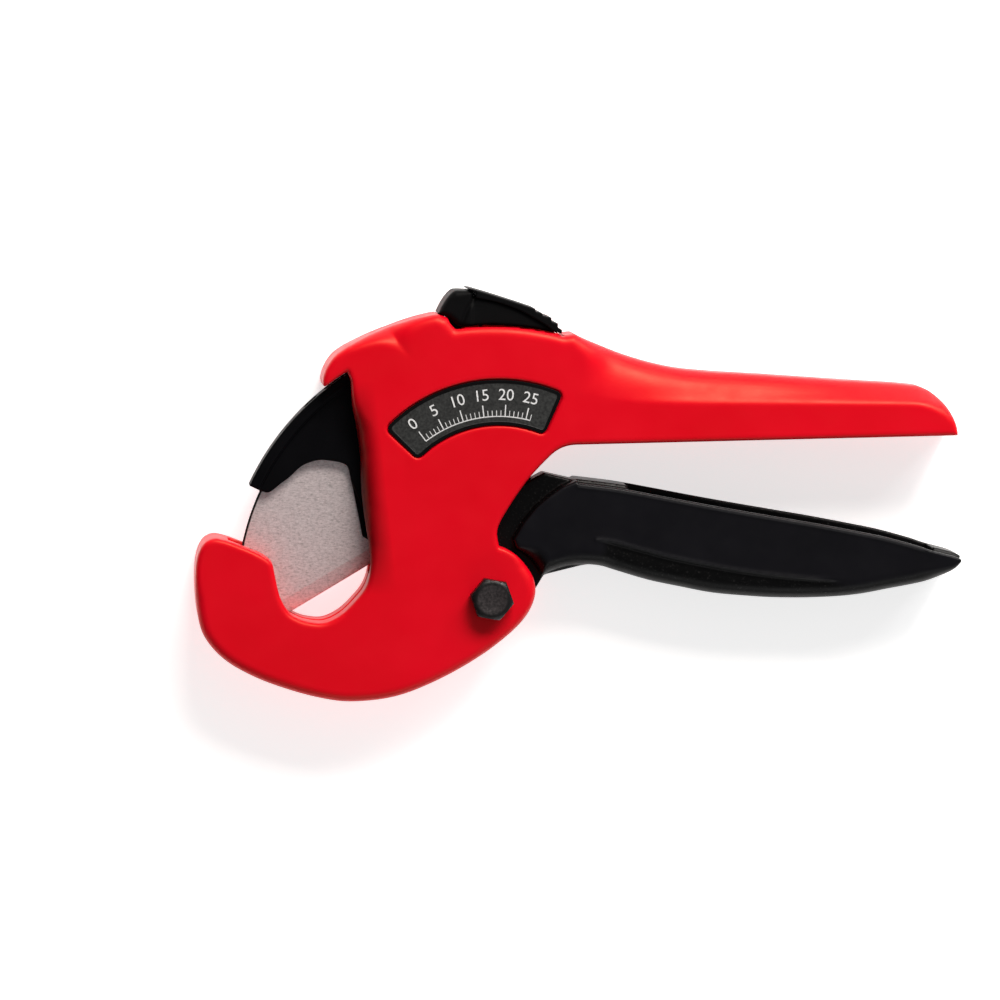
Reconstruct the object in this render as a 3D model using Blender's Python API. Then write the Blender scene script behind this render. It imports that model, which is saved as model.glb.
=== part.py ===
"""One-hand ratchet shears for plastic pipe.

The tool lies flat on its far side: +X runs towards the ends of the handles,
+Y from the hook to the thumb lever, +Z is the thickness. Every hinge axis is
+Z, and a positive turn closes the tool. All sizes below are in millimetres
about the main bolt; world() moves them to the part's own frame, in metres.
"""

import math

import bmesh
import bpy
from mathutils import Vector

# ---------------------------------------------------------------- dimensions
MM = 0.001
CENTRE_X, CENTRE_Y = 23.5, 26.75  # middle of the whole outline, from the bolt
THICK = 20.0  # thickness of the housing
CAVITY = (5.5, 14.5)  # space between the two walls of the head
CHANNEL = (2.6, 17.4)  # space inside the fixed handle
GAP = 0.3  # clearance between neighbours

BOLT_R, SLEEVE_R, BUSH_R, HUB_R = 3.0, 4.7, 6.0, 9.3
HEX_AF, NUT_H, HEAD_H = 10.0, 3.2, 4.0
ROOF_R = 69.7  # inner radius of the roof over the ratchet rim
RECESS_R = 71.0  # top of the walls under the thumb lever

RIM_R, RIM_ROOT, RIM_IN = 69.1, 68.0, 63.5  # ratchet rim of the blade carrier
RIM_FROM, RIM_TO = 82.0, 156.4
RIM_TEETH = (84, 128, 2)  # first, last and pitch, degrees
WEB = (7.0, 13.0)
HUB = (8.0, 12.0)
BLADE = (9.2, 10.8)
SLOT = (8.9, 11.1)
BLADE_R = 65.9

SECTOR_R, SECTOR_ROOT = 24.2, 22.6  # drive teeth on the carrier hub
SECTOR_TEETH = (52, 104, 4)
FORK = (5.8, 14.2)  # handle fork between the walls
FORK_SLOT = (7.7, 12.3)
HANDLE = (1.0, 19.0)
HANDLE_CHANNEL = (3.3, 16.7)

TIP_R, TIP_AT, PAWL_LENGTH = 23.3, 76.0, 15.0
LEVER_PIN = (0.5, 73.0)
LEVER = (2.0, 18.0)

RED = (0.72, 0.012, 0.008, 1)
BLACK = (0.012, 0.012, 0.013, 1)
DARK = (0.03, 0.032, 0.032, 1)
STEEL = (0.46, 0.44, 0.42, 1)
SPRING_STEEL = (0.32, 0.32, 0.33, 1)
BRONZE = (0.45, 0.30, 0.13, 1)


# ---------------------------------------------------------------- 2-D helpers
def polar(radius, degrees, centre=(0.0, 0.0)):
    a = math.radians(degrees)
    return (centre[0] + radius * math.cos(a), centre[1] + radius * math.sin(a))


def arc(radius, start, end, count, centre=(0.0, 0.0)):
    return [
        polar(radius, start + (end - start) * i / count, centre)
        for i in range(count + 1)
    ]


def smooth(points, steps=2):
    """A Catmull-Rom curve through the points, both ends included."""
    ends = [points[0]] + list(points) + [points[-1]]
    out = []
    for i in range(1, len(ends) - 2):
        a, b, c, d = ends[i - 1 : i + 3]
        for k in range(steps):
            t = k / steps
            out.append(
                tuple(
                    0.5
                    * (
                        2 * b[n]
                        + (c[n] - a[n]) * t
                        + (2 * a[n] - 5 * b[n] + 4 * c[n] - d[n]) * t * t
                        + (3 * b[n] - a[n] - 3 * c[n] + d[n]) * t**3
                    )
                    for n in (0, 1)
                )
            )
    return out + [tuple(points[-1])]


def world(x, y, z=0.0):
    return Vector(((x - CENTRE_X) * MM, (y - CENTRE_Y) * MM, z * MM))


# ---------------------------------------------------------------- 3-D helpers
for old in list(bpy.data.objects):
    bpy.data.objects.remove(old, do_unlink=True)

MATERIALS = {}


def material(name, colour, roughness, metallic):
    mat = bpy.data.materials.new(name)
    mat.use_nodes = True
    shader = mat.node_tree.nodes["Principled BSDF"]
    shader.inputs["Base Color"].default_value = colour
    shader.inputs["Roughness"].default_value = roughness
    shader.inputs["Metallic"].default_value = metallic
    MATERIALS[name] = mat


material("red_enamel", RED, 0.35, 0.0)
material("black_enamel", BLACK, 0.4, 0.0)
material("black_plastic", BLACK, 0.5, 0.0)
material("plate_print", DARK, 0.45, 0.0)
material("blade_steel", STEEL, 0.38, 1.0)
material("black_oxide", BLACK, 0.35, 0.6)
material("spring_wire", SPRING_STEEL, 0.3, 1.0)
material("bronze", BRONZE, 0.35, 1.0)


def add(name, bm, mat=None, axis=None):
    """An object from a bmesh in bolt coordinates; axis puts its origin on its hinge."""
    bmesh.ops.remove_doubles(bm, verts=bm.verts, dist=0.002)
    bmesh.ops.recalc_face_normals(bm, faces=bm.faces)
    parent = AXES.get(axis)
    base = parent.location if parent else Vector((0, 0, 0))
    for v in bm.verts:
        v.co = world(*v.co) - base
    mesh = bpy.data.meshes.new(name)
    bm.to_mesh(mesh)
    bm.free()
    obj = bpy.data.objects.new(name, mesh)
    bpy.context.scene.collection.objects.link(obj)
    if parent:
        obj.parent = parent
    if mat:
        mesh.materials.append(MATERIALS[mat])
        mesh.shade_smooth()
        mesh.set_sharp_from_angle(angle=math.radians(32))
    return obj


AXES = {}


def hinge_axis(name, x, y):
    empty = bpy.data.objects.new(name, None)
    empty.location = world(x, y)
    empty.empty_display_size = 0.01
    bpy.context.scene.collection.objects.link(empty)
    AXES[name] = empty


def prism(points, z0, z1, bm=None):
    bm = bm or bmesh.new()
    verts = [bm.verts.new((x, y, z0)) for x, y in points]
    face = bm.faces.new(verts)
    top = bmesh.ops.extrude_face_region(bm, geom=[face])["geom"]
    bmesh.ops.translate(
        bm,
        verts=[g for g in top if isinstance(g, bmesh.types.BMVert)],
        vec=(0, 0, z1 - z0),
    )
    return bm


def turned(profile, sides, centre=(0.0, 0.0), start=0.0):
    """A closed ring or disc: profile is (radius, z) pairs round its section."""
    bm = bmesh.new()
    rings = []
    for r, z in profile:
        if r < 1e-6:
            rings.append([bm.verts.new((centre[0], centre[1], z))] * sides)
            continue
        ring = []
        for k in range(sides):
            a = 2 * math.pi * k / sides + math.radians(start)
            ring.append(
                bm.verts.new(
                    (centre[0] + r * math.cos(a), centre[1] + r * math.sin(a), z)
                )
            )
        rings.append(ring)
    for i in range(len(rings)):
        a, b = rings[i], rings[(i + 1) % len(rings)]
        if a[0] is a[1] and b[0] is b[1]:
            continue
        for k in range(sides):
            n = (k + 1) % sides
            corners = []
            for v in (a[k], a[n], b[n], b[k]):
                if v not in corners:
                    corners.append(v)
            bm.faces.new(corners)
    return bm


def cylinder(radius, z0, z1, sides=32, centre=(0.0, 0.0), start=0.0):
    return turned(
        [(0, z0), (radius, z0), (radius, z1), (0, z1)], sides, centre, start
    )


def tube(inner, outer, z0, z1, sides=32, centre=(0.0, 0.0)):
    return turned(
        [(inner, z0), (outer, z0), (outer, z1), (inner, z1)], sides, centre
    )


def wire(path, radius, sides=6):
    """A round wire swept along 3-D points, capped at both ends."""
    bm = bmesh.new()
    points = [Vector(p) for p in path]
    normal = Vector((0, 0, 1))
    rings = []
    for i, p in enumerate(points):
        ahead = points[min(i + 1, len(points) - 1)]
        behind = points[max(i - 1, 0)]
        along = (ahead - behind).normalized()
        normal = normal - along * normal.dot(along)
        if normal.length < 1e-3:
            normal = along.orthogonal()
        normal.normalize()
        side = along.cross(normal)
        rings.append(
            [
                bm.verts.new(
                    p
                    + radius
                    * (
                        math.cos(2 * math.pi * k / sides) * normal
                        + math.sin(2 * math.pi * k / sides) * side
                    )
                )
                for k in range(sides)
            ]
        )
    for a, b in zip(rings, rings[1:]):
        for k in range(sides):
            n = (k + 1) % sides
            bm.faces.new((a[k], a[n], b[n], b[k]))
    bm.faces.new(rings[0])
    bm.faces.new(rings[-1])
    return bm


COUNT = [0]


def boolean(obj, bm, operation="DIFFERENCE"):
    """Cuts or joins a shape, kept as a hidden wire helper."""
    COUNT[0] += 1
    tool = add(f"tool_{COUNT[0]:02d}", bm)
    tool.hide_render = True
    tool.display_type = "WIRE"
    modifier = obj.modifiers.new(tool.name, "BOOLEAN")
    modifier.operation = operation
    modifier.solver = "EXACT"
    modifier.object = tool
    return obj


def round_edges(obj, width, segments, limit=50):
    modifier = obj.modifiers.new("rounding", "BEVEL")
    modifier.width = width * MM
    modifier.segments = segments
    modifier.limit_method = "ANGLE"
    modifier.angle_limit = math.radians(limit)
    return obj


PAWL_TIP = polar(TIP_R, TIP_AT)
_a = math.radians(TIP_AT)
OUTWARD = (math.cos(_a), math.sin(_a))
BACK = (math.sin(_a), -math.cos(_a))  # clockwise along the drive teeth


def at_tip(s, h):
    """Bolt coordinates of a point s back and h out from the foot of the drive tooth."""
    return (
        PAWL_TIP[0] + s * BACK[0] + h * OUTWARD[0],
        PAWL_TIP[1] + s * BACK[1] + h * OUTWARD[1],
    )


PAWL_PIN = at_tip(PAWL_LENGTH, 0)

hinge_axis("main_axis_blade", 0, 0)
hinge_axis("main_axis_handle", 0, 0)
hinge_axis("pawl_axis", *PAWL_PIN)
hinge_axis("lever_axis", *LEVER_PIN)

# ---------------------------------------------------------------- housing
HOOK_AND_BELLY = [
    (-69.3, 15.3), (-72.2, 15.7), (-74.8, 14.2), (-76.4, 10.5), (-76.9, 4.2),
    (-76.3, -4.0), (-74.4, -10.2), (-69.3, -16.0), (-61.4, -20.6), (-52.0, -24.1),
    (-43.0, -26.4), (-35.2, -27.1), (-24.7, -25.8), (-14.2, -21.8), (-3.7, -16.0),
    (4.5, -9.9), (9.4, -4.7), (11.6, 0.4), (11.3, 4.7), (9.3, 8.2), (6.6, 11.1),
    (3.9, 12.8), (2.1, 13.4),
]  # fmt: skip
BACK_EDGE = [
    (2.1, 13.4), (1.6, 17.8), (4.2, 23.1), (9.4, 30.7), (14.7, 36.5), (17.6, 38.8),
    (20.5, 39.8), (24.0, 40.0),
]  # fmt: skip
HANDLE_END_AND_TOP = [
    (122.2, 42.3), (121.6, 45.4), (119.7, 49.3), (117.1, 52.2), (113.8, 54.4),
    (109.2, 55.4), (93.5, 56.4), (72.5, 57.8), (56.0, 58.8), (46.2, 60.0),
    (35.7, 62.8), (25.2, 66.9), (21.5, 68.8),
]  # fmt: skip
NOSE = [(-37.8, 65.2), (-40.9, 62.9), (-43.1, 59.6), (-43.9, 56.6), (-43.6, 54.9)]
FRONT_AND_SEAT = [
    (-36.5, 56.4), (-36.1, 50.0), (-34.9, 43.4), (-34.0, 36.8), (-33.9, 30.5),
    (-33.3, 24.2), (-32.4, 17.9), (-31.6, 13.1), (-31.3, 9.5), (-31.7, 5.6),
    (-32.9, 2.4), (-35.2, -0.6), (-38.9, -4.2), (-43.2, -6.3), (-47.5, -6.1),
    (-50.7, -5.0), (-52.8, -3.5), (-54.6, -0.4), (-55.6, 3.0), (-56.3, 6.4),
    (-57.3, 9.6), (-61.4, 12.2), (-66.7, 14.4), (-69.3, 15.3),
]  # fmt: skip

outline = smooth(HOOK_AND_BELLY)[:-1]
outline += smooth(BACK_EDGE)
outline += smooth(HANDLE_END_AND_TOP)
outline += arc(RECESS_R, 74.5, 97.6, 10)
outline += [(-11.6, 72.9), (-14.2, 73.9)]
outline += arc(75.3, 102.5, 119, 8)
outline += smooth(NOSE)
outline += arc(70.0, 127.6, 122.4, 3)
outline += smooth(FRONT_AND_SEAT)[:-1]

housing = add("housing", prism(outline, 0, THICK), "red_enamel")
round_edges(housing, 1.8, 2)

# the space between the walls of the head, open to the jaw and to the handles
cavity = [(-33.0, 7.2), (-29.0, 4.0), (-23.5, -1.2), (-9.4, -6.0)]
cavity += arc(10.8, 212, 306, 8)
cavity += [(17.0, 2.5), (60.0, 2.5), (60.0, 30.0)]
cavity += arc(ROOF_R, 31, 131, 50)
cavity += [(-41.0, 14.0)]
boolean(housing, prism(cavity, *CAVITY))

# the fixed handle is a channel, open towards the other handle
channel = [(26.5, 34.0), (119.3, 34.0), (118.8, 43.0), (116.4, 48.7), (112.6, 51.7)]
channel += [(100.0, 53.1), (72.5, 55.0), (56.0, 56.0), (46.2, 57.1), (36.5, 59.7)]
channel += [(29.0, 62.6), (26.5, 62.0)]
boolean(housing, prism(channel, *CHANNEL))

# the slot in the hook, where the blade goes as it closes
slot = [(-25.6, 6.5), (-25.6, 30.0), (-50.0, 46.0)]
slot += arc(BLADE_R + 1.2, 145, 190.3, 12)
slot += [(-50.5, -17.3), (-49.7, -16.9)]
boolean(housing, prism(slot, *SLOT))
# relief in the hook's top for the end of the ratchet rim
relief = arc(69.7, 150, 169.4, 8) + arc(62.6, 169.4, 150, 8)
boolean(housing, prism(relief, *CAVITY))

# the recess under the thumb lever: a pocket inside each outer skin
pocket = arc(68.2, 74.6, 98.8, 8) + arc(78.0, 98.8, 74.6, 8)
boolean(housing, prism(pocket, 1.7, 18.3))
opening = arc(67.5, 97.0, 100.2, 2) + arc(78.0, 100.2, 97.0, 2)
boolean(housing, prism(opening, CAVITY[0] + 0.01, CAVITY[1] - 0.01))
for z0, z1 in ((4.1, CAVITY[0] - 0.01), (CAVITY[1] + 0.01, 15.9)):
    lug = [(-3.1, 66.5), (4.2, 66.5)] + arc(2.7, -10, 190, 10, LEVER_PIN)
    boolean(housing, prism(lug, z0, z1), "UNION")
boolean(housing, cylinder(1.75, 3.9, 16.1, 20, LEVER_PIN))

# bolt hole, hexagon pocket for the nut, ring pocket for the handle spring
boolean(housing, cylinder(BOLT_R + GAP, -1, THICK + 1, 32))
boolean(
    housing,
    cylinder((HEX_AF + 2 * GAP) / math.sqrt(3), -1, NUT_H + 0.8, 6, start=-10),
)
boolean(housing, tube(6.9, 9.7, 2.4, CAVITY[0] + 0.4, 32))
boolean(housing, cylinder(1.9, 2.4, 5.9, 12, polar(9.9, 208)))
# blind holes for the stop pin and the spring anchor
STOP_PIN = polar(58.0, 46.8)
ANCHOR = (78.0, 48.4)
boolean(housing, cylinder(2.1, 1.0, 19.0, 16, STOP_PIN))
boolean(housing, cylinder(1.8, 1.0, 19.0, 16, ANCHOR))

# the recesses of the two name plates
PLATE_AT = (1.8, 16.3)


def plate_outline(grow=0.0, count=24):
    inner, outer = 28.9 - grow, 40.6 + grow
    corner = 1.6 + grow
    out = []
    first, last = 65.8, 136.5
    extra = math.degrees(grow / 34.7)
    first, last = first - extra, last + extra
    for radius, a, towards in ((outer, first, 1), (outer, last, -1)):
        back = math.degrees(math.asin(corner / (radius - corner)))
        mid = polar(radius - corner, a + towards * back, PLATE_AT)
        turn = a - 90 if towards > 0 else a
        out += arc(corner, turn + (0 if towards > 0 else 0), turn + 90, 4, mid)
        if towards > 0:
            out += arc(radius, a + back, last - back, count, PLATE_AT)[1:-1]
    for radius, a, towards in ((inner, last, -1), (inner, first, 1)):
        back = math.degrees(math.asin(corner / (radius + corner)))
        mid = polar(radius + corner, a + towards * back, PLATE_AT)
        turn = a + 90 if towards < 0 else a + 180
        out += arc(corner, turn, turn + 90, 4, mid)
        if towards < 0:
            out += arc(radius, a - back, first + back, count, PLATE_AT)[1:-1]
    return out


boolean(housing, prism(plate_outline(GAP), THICK - 0.9, THICK + 1))
boolean(housing, prism(plate_outline(GAP), -1, 0.9))
add("name_plate_near", prism(plate_outline(), THICK - 0.6, THICK - 0.05), "plate_print")
add("name_plate_far", prism(plate_outline(), 0.05, 0.6), "plate_print")

# ---------------------------------------------------------------- main pivot
across = HEX_AF / math.sqrt(3)
bolt = add(
    "pivot_bolt",
    turned(
        [(0, 20.3), (across, 20.3), (across, 20.3 + HEAD_H - 0.6),
         (across - 1.1, 20.3 + HEAD_H), (0, 20.3 + HEAD_H)], 6, start=-10,
    ),
    "black_oxide",
)  # fmt: skip
boolean(bolt, cylinder(BOLT_R, 0.9, 20.6, 32), "UNION")
nut = add("pivot_nut", cylinder(across, 0.5, 0.5 + NUT_H, 6, start=-10), "black_oxide")
boolean(nut, cylinder(BOLT_R + GAP, 0, 5, 32))
add("pivot_sleeve", tube(BOLT_R + GAP, SLEEVE_R, 5.8, 14.2, 36), "spring_wire")

# ---------------------------------------------------------------- blade carrier
def saw(first, last, pitch, root, crest, lean=0.0):
    """Teeth whose steep faces look clockwise, listed counter-clockwise."""
    out = []
    a = first
    while a < last - 1e-6:
        out += [polar(root, a), polar(crest, a + lean)]
        a += pitch
    return out + [polar(root, last)]


web = saw(*SECTOR_TEETH, SECTOR_ROOT, SECTOR_R, 0.15)
WEB_BACK = [polar(39.6, 121), polar(46.0, 99), polar(65.8, 84.4)]
web += arc(SECTOR_ROOT, 108, 128, 4) + [polar(29.0, 131), polar(33.5, 130)]
web += WEB_BACK + arc(66.0, 88, 156.0, 26)
LOWER_ARCH = [
    (-59.7, 26.0), (-56.0, 29.0), (-53.2, 31.8), (-50.3, 33.9), (-46.9, 35.2),
    (-43.6, 35.6), (-40.4, 35.0), (-38.2, 33.2), (-36.6, 30.0),
]  # fmt: skip
web += smooth(LOWER_ARCH)
web += [(-33.2, 23.0), (-29.2, 13.5), (-22.5, 5.0)]
web += arc(HUB_R, 200, 410, 22)
carrier = add("blade_carrier", prism(web, *HUB), "black_enamel", "main_axis_blade")
round_rim = arc(RIM_IN, RIM_TO, RIM_FROM, 24)
round_rim += [polar(RIM_ROOT, RIM_FROM)]
round_rim += saw(*RIM_TEETH, RIM_ROOT, RIM_R, 0.33)
round_rim += [polar(RIM_R, 128.6), polar(RIM_R, 130.8), polar(68.1, 131.7)]
round_rim += [polar(68.1, 134.0), polar(RIM_R, 134.5)]  # seat for the open blade
round_rim += arc(RIM_R, 136.0, RIM_TO, 10)
boolean(carrier, prism(round_rim, *FORK), "UNION")
thick = WEB_BACK + arc(65.5, 88, 156.0, 26)
thick += smooth(LOWER_ARCH) + [(-33.2, 23.0)]
thick += arc(39.5, 144, 124, 6)
boolean(carrier, prism(thick, *WEB), "UNION")
# the slot that holds the blade, and the screw holes
SCREWS = {"front": (-29.5, 33.0), "rear": (-22.0, 45.0)}
EDGE_TIP, EDGE_HEEL = (-52.2, -4.5), (-31.5, 7.9)
BLADE_BACK = [
    (-27.8, 10.1), (-25.4, 14.0), (-25.0, 26.0), (-17.6, 40.5), (-18.4, 48.8),
    (-25.6, 52.2), (-40.0, 48.6), (-50.0, 40.2),
]  # fmt: skip


def grown(points, by):
    """The closed outline, counter-clockwise, moved outwards."""
    out = []
    for i, p in enumerate(points):
        a, b = points[i - 1], points[(i + 1) % len(points)]
        u = Vector((p[0] - a[0], p[1] - a[1])).normalized()
        v = Vector((b[0] - p[0], b[1] - p[1])).normalized()
        n = Vector((u.y + v.y, -u.x - v.x)).normalized()
        scale = by / max(0.5, n.dot(Vector((u.y, -u.x))))
        out.append((p[0] + n.x * scale, p[1] + n.y * scale))
    return out


blade_outline = [EDGE_TIP, EDGE_HEEL] + BLADE_BACK + arc(BLADE_R, 151, 176, 10)
boolean(carrier, prism(grown(blade_outline, 0.35), *SLOT))
for spot in SCREWS.values():
    boolean(carrier, cylinder(2.0, WEB[0] - 1, WEB[1] + 1, 16, spot))
    boolean(
        carrier,
        turned(
            [(0, 9.9), (2.0, 10.9), (3.9, 12.7), (3.9, 14), (0, 14)], 16, spot
        ),
    )
HOOK_HOLE = (2.6, 61.0)
boolean(carrier, cylinder(0.95, WEB[0] - 1, WEB[1] + 1, 12, HOOK_HOLE))
boolean(carrier, cylinder(BUSH_R + GAP, HUB[0] - 1, HUB[1] + 1, 32))
add(
    "carrier_bush",
    tube(SLEEVE_R + GAP, BUSH_R, *HUB, 36),
    "bronze",
    "main_axis_blade",
)

# the blade, ground on one long bevel
BEVEL = 3.7
blade = add("blade", prism(blade_outline, *BLADE), "blade_steel", "main_axis_blade")
edge = Vector((EDGE_HEEL[0] - EDGE_TIP[0], EDGE_HEEL[1] - EDGE_TIP[1])).normalized()
side = Vector((-edge.y, edge.x))
for face, out in ((BLADE[1], 1), (BLADE[0], -1)):
    bm = bmesh.new()
    rows = []
    for along in (-20.0, 32.0):
        foot = Vector(EDGE_TIP) + edge * along
        corners = []
        for across_, z in (
            (-2.0, 10.0 + out * 0.02),
            (0.0, 10.0 + out * 0.15),
            (BEVEL, face),
            (BEVEL, face + out * 2),
            (-2.0, face + out * 2),
        ):
            p = foot + side * across_
            corners.append(bm.verts.new((p.x, p.y, z)))
        rows.append(corners)
    for k in range(5):
        n = (k + 1) % 5
        bm.faces.new((rows[0][k], rows[0][n], rows[1][n], rows[1][k]))
    bm.faces.new(rows[0])
    bm.faces.new(rows[1])
    boolean(blade, bm)
for spot in SCREWS.values():
    boolean(blade, cylinder(2.0, 8, 12, 16, spot))
for name, spot in SCREWS.items():
    screw = add(
        f"blade_screw_{name}",
        turned(
            [(0, 7.2), (1.65, 7.2), (1.65, 11.2), (3.3, 12.7), (0, 12.7)], 16, spot
        ),
        "black_oxide",
        "main_axis_blade",
    )
    boolean(
        screw,
        prism([(spot[0] - 4, spot[1] - 0.4), (spot[0] + 4, spot[1] - 0.4),
               (spot[0] + 4, spot[1] + 0.4), (spot[0] - 4, spot[1] + 0.4)], 12.1, 14),
    )  # fmt: skip

# ---------------------------------------------------------------- lower handle
LOWER_EDGE = [
    (13.6, 5.5), (16.3, 6.9), (20.5, 8.1), (24.7, 8.4), (28.9, 8.0), (33.1, 6.7),
    (41.5, 4.2), (50.0, 2.4), (58.3, 0.8), (66.7, 0.0), (75.1, -0.5), (85.6, -0.5),
    (96.1, 0.3), (104.5, 1.8), (112.9, 3.4), (117.1, 4.7), (121.3, 6.7),
    (123.4, 8.9), (123.9, 10.4),
]  # fmt: skip
UPPER_EDGE = [
    (123.9, 10.4), (121.5, 11.6), (115.8, 13.2), (111.6, 14.9), (103.4, 17.2),
    (96.1, 18.1), (85.6, 20.0), (75.1, 21.8), (64.6, 23.6), (54.1, 25.5),
    (43.6, 27.5), (33.1, 29.4), (22.6, 30.7),
]  # fmt: skip
panel = smooth(LOWER_EDGE) + smooth(UPPER_EDGE)[1:]
panel += [(18.6, 29.0), (15.1, 26.5), (11.8, 23.7), (8.5, 19.6), (5.9, 15.2)]
panel += arc(14.5, 62, 28, 5)
lower = add("lower_handle", prism(panel, *HANDLE), "black_enamel", "main_axis_handle")
round_edges(lower, 1.6, 2, 55)
fork = arc(HUB_R, 150, 332, 20)
fork += [(14.2, 5.6), (30.0, 9.5), (33.5, 14.0), (33.0, 28.8), (22.6, 30.7)]
fork += [(14.0, 32.3), (9.0, 29.6), (0.8, 23.6), (-5.8, 14.0)]
boolean(lower, prism(fork, *FORK), "UNION")
# open channel along the handle, and the gap of the fork for the carrier and pawl
inside = [(36.0, 9.2), (45.0, 6.1), (58.0, 3.4), (66.7, 2.6), (75.1, 2.1)]
inside += [(85.6, 2.1), (96.1, 2.9), (104.5, 4.3), (112.0, 5.8), (116.5, 7.4)]
inside += [(116.5, 40.0), (36.0, 40.0)]
boolean(lower, prism(inside, *HANDLE_CHANNEL))
gap = arc(32.5, -30, 125, 24) + arc(32.5, 130, 320, 20)
boolean(lower, prism(gap, *FORK_SLOT))
boolean(lower, cylinder(SLEEVE_R + GAP, 0, 20, 36))
boolean(lower, cylinder(1.75, 0.5, 17.3, 16, PAWL_PIN))
LEG_AT = polar(8.3, 40)
boolean(lower, cylinder(0.95, 5.0, 8.2, 12, LEG_AT))
LEAF = [at_tip(21.0, 6.3), at_tip(16.0, 6.9), at_tip(9.0, 5.6), at_tip(5.0, 4.0)]
leaf_slit = [at_tip(22.0, 5.2), at_tip(22.0, 7.6), at_tip(12.0, 8.2), at_tip(12.0, 5.2)]
boolean(lower, prism(leaf_slit, 8.2, 11.8))

# ---------------------------------------------------------------- drive pawl
pawl = [at_tip(0.4, 0.15), at_tip(0.4, 2.9), at_tip(5.0, 3.4)]
pawl += arc(3.0, 90 + TIP_AT - 90 + 0, TIP_AT - 180, 12, PAWL_PIN)
pawl += [at_tip(12.2, -1.9), at_tip(10.0, -0.7), at_tip(8.0, 0.05), at_tip(6.0, 0.6)]
pawl += [at_tip(4.0, 1.05), at_tip(1.9, 1.35), at_tip(1.45, 1.2)]
drive = add("drive_pawl", prism(pawl, 8.0, 12.0), "spring_wire", "pawl_axis")
boolean(drive, cylinder(1.7, 6, 14, 16, PAWL_PIN))
add(
    "drive_pawl_pin", cylinder(1.4, 1.4, 17.0, 16, PAWL_PIN), "spring_wire", "main_axis_handle"
)


def strip(points, half, z0, z1):
    """A flat spring: the outline of a thin strip along the points."""
    left, right = [], []
    for i, p in enumerate(points):
        a, b = points[max(i - 1, 0)], points[min(i + 1, len(points) - 1)]
        d = Vector((b[0] - a[0], b[1] - a[1])).normalized()
        left.append((p[0] - d.y * half, p[1] + d.x * half))
        right.append((p[0] + d.y * half, p[1] - d.x * half))
    return prism(right + left[::-1], z0, z1)


add(
    "drive_pawl_spring",
    strip(smooth(LEAF, 3), 0.3, 8.6, 11.4),
    "spring_wire",
    "main_axis_handle",
)

# ---------------------------------------------------------------- thumb lever
LEVER_TOP = [
    (18.6, 68.6), (15.8, 71.7), (11.6, 74.4), (7.4, 76.6), (3.1, 78.2), (-1.0, 79.2),
    (-4.2, 79.7),
]  # fmt: skip
LEVER_FRONT = [(-4.6, 79.7), (-8.9, 80.0), (-10.6, 79.2), (-12.4, 76.9), (-13.6, 74.3)]
bottom = [(-11.2, 73.3)] + arc(70.9, 96.8, 76.2, 8)
PAD = 1.1  # thickness of the ribbed pad over the rear of the lever
top_line = smooth(LEVER_TOP)
under_pad = [
    (x - 0.45 * (PAD + GAP), y - 0.9 * (PAD + GAP)) for x, y in top_line[1:-1]
]
lever_side = [p for p in under_pad if -4.4 < p[0] < 16.8] + [(-4.9, 78.2)]
lever_side += smooth(LEVER_FRONT) + bottom
lever = add("release_lever", prism(lever_side, *LEVER), "black_plastic", "lever_axis")
hollow = [(-3.4, 66.0), (17.0, 66.0), (14.4, 69.8), (9.8, 72.4), (5.0, 74.6)]
hollow += [(0.0, 76.2), (-3.4, 76.6)]
boolean(lever, prism(hollow, LEVER[0] + 1.8, LEVER[1] - 1.8))
boolean(lever, cylinder(1.75, 2.9, 17.1, 20, LEVER_PIN))
# the holding nose, seated in the rim teeth
FACE = 98.0
nose_tip = [
    polar(68.42, FACE - 0.3), polar(69.5, FACE + 0.0), polar(74.5, FACE + 1.2),
    polar(74.5, FACE - 2.6), polar(69.5, FACE - 1.9),
]  # fmt: skip
boolean(lever, prism(nose_tip[::-1], 6.2, 13.8), "UNION")
# ribbed pad: a skin over the lever with a stair of ribs near its rear end
pad_top = []
for x, y in top_line[1:-1]:
    pad_top.append((x, y))
ribs = []
RIBS, RIB = 7, 0.55
for i in range(RIBS):
    x0, x1 = 15.4 - i * 1.75, 15.4 - (i + 1) * 1.75

    def height(x):
        for (xa, ya), (xb, yb) in zip(top_line, top_line[1:]):
            if xb <= x <= xa:
                return ya + (yb - ya) * (x - xa) / (xb - xa)
        return top_line[-1][1]

    ribs += [(x0, height(x0) - 0.1), (x0, height(x1) + RIB * 0.4), (x1 + 0.15, height(x1) + RIB)]
pad_outline = [(16.6, 70.6)] + ribs + [p for p in top_line if p[0] < 2.6][:-1]
pad_outline += [(-4.1, 79.7), (-4.3, 78.4)]
pad_outline += [(x + 0.27, y + 0.27) for x, y in under_pad[::-1] if -3.8 < x < 16.2]
add("thumb_pad", prism(pad_outline, *LEVER), "black_plastic", "lever_axis")
add("lever_pin", cylinder(1.45, 3.2, 16.8, 20, LEVER_PIN), "spring_wire")

# ---------------------------------------------------------------- springs and pins
def coil(centre, radius, z0, z1, turns, steps, start):
    return [
        polar(radius, start + 360 * turns * i / (steps * turns), centre)
        + (z0 + (z1 - z0) * i / (steps * turns),)
        for i in range(int(steps * turns) + 1)
    ]


lever_coil = coil(LEVER_PIN, 2.25, 7.4, 12.4, 4, 12, 250)
lever_path = [(-2.7, 70.6, 6.8), (-1.6, 70.7, 7.1)] + lever_coil + [
    (4.0, 71.4, 12.6), (9.6, 71.9, 12.6),
]  # fmt: skip
add("lever_spring", wire(lever_path, 0.33, 5), "spring_wire")

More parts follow.
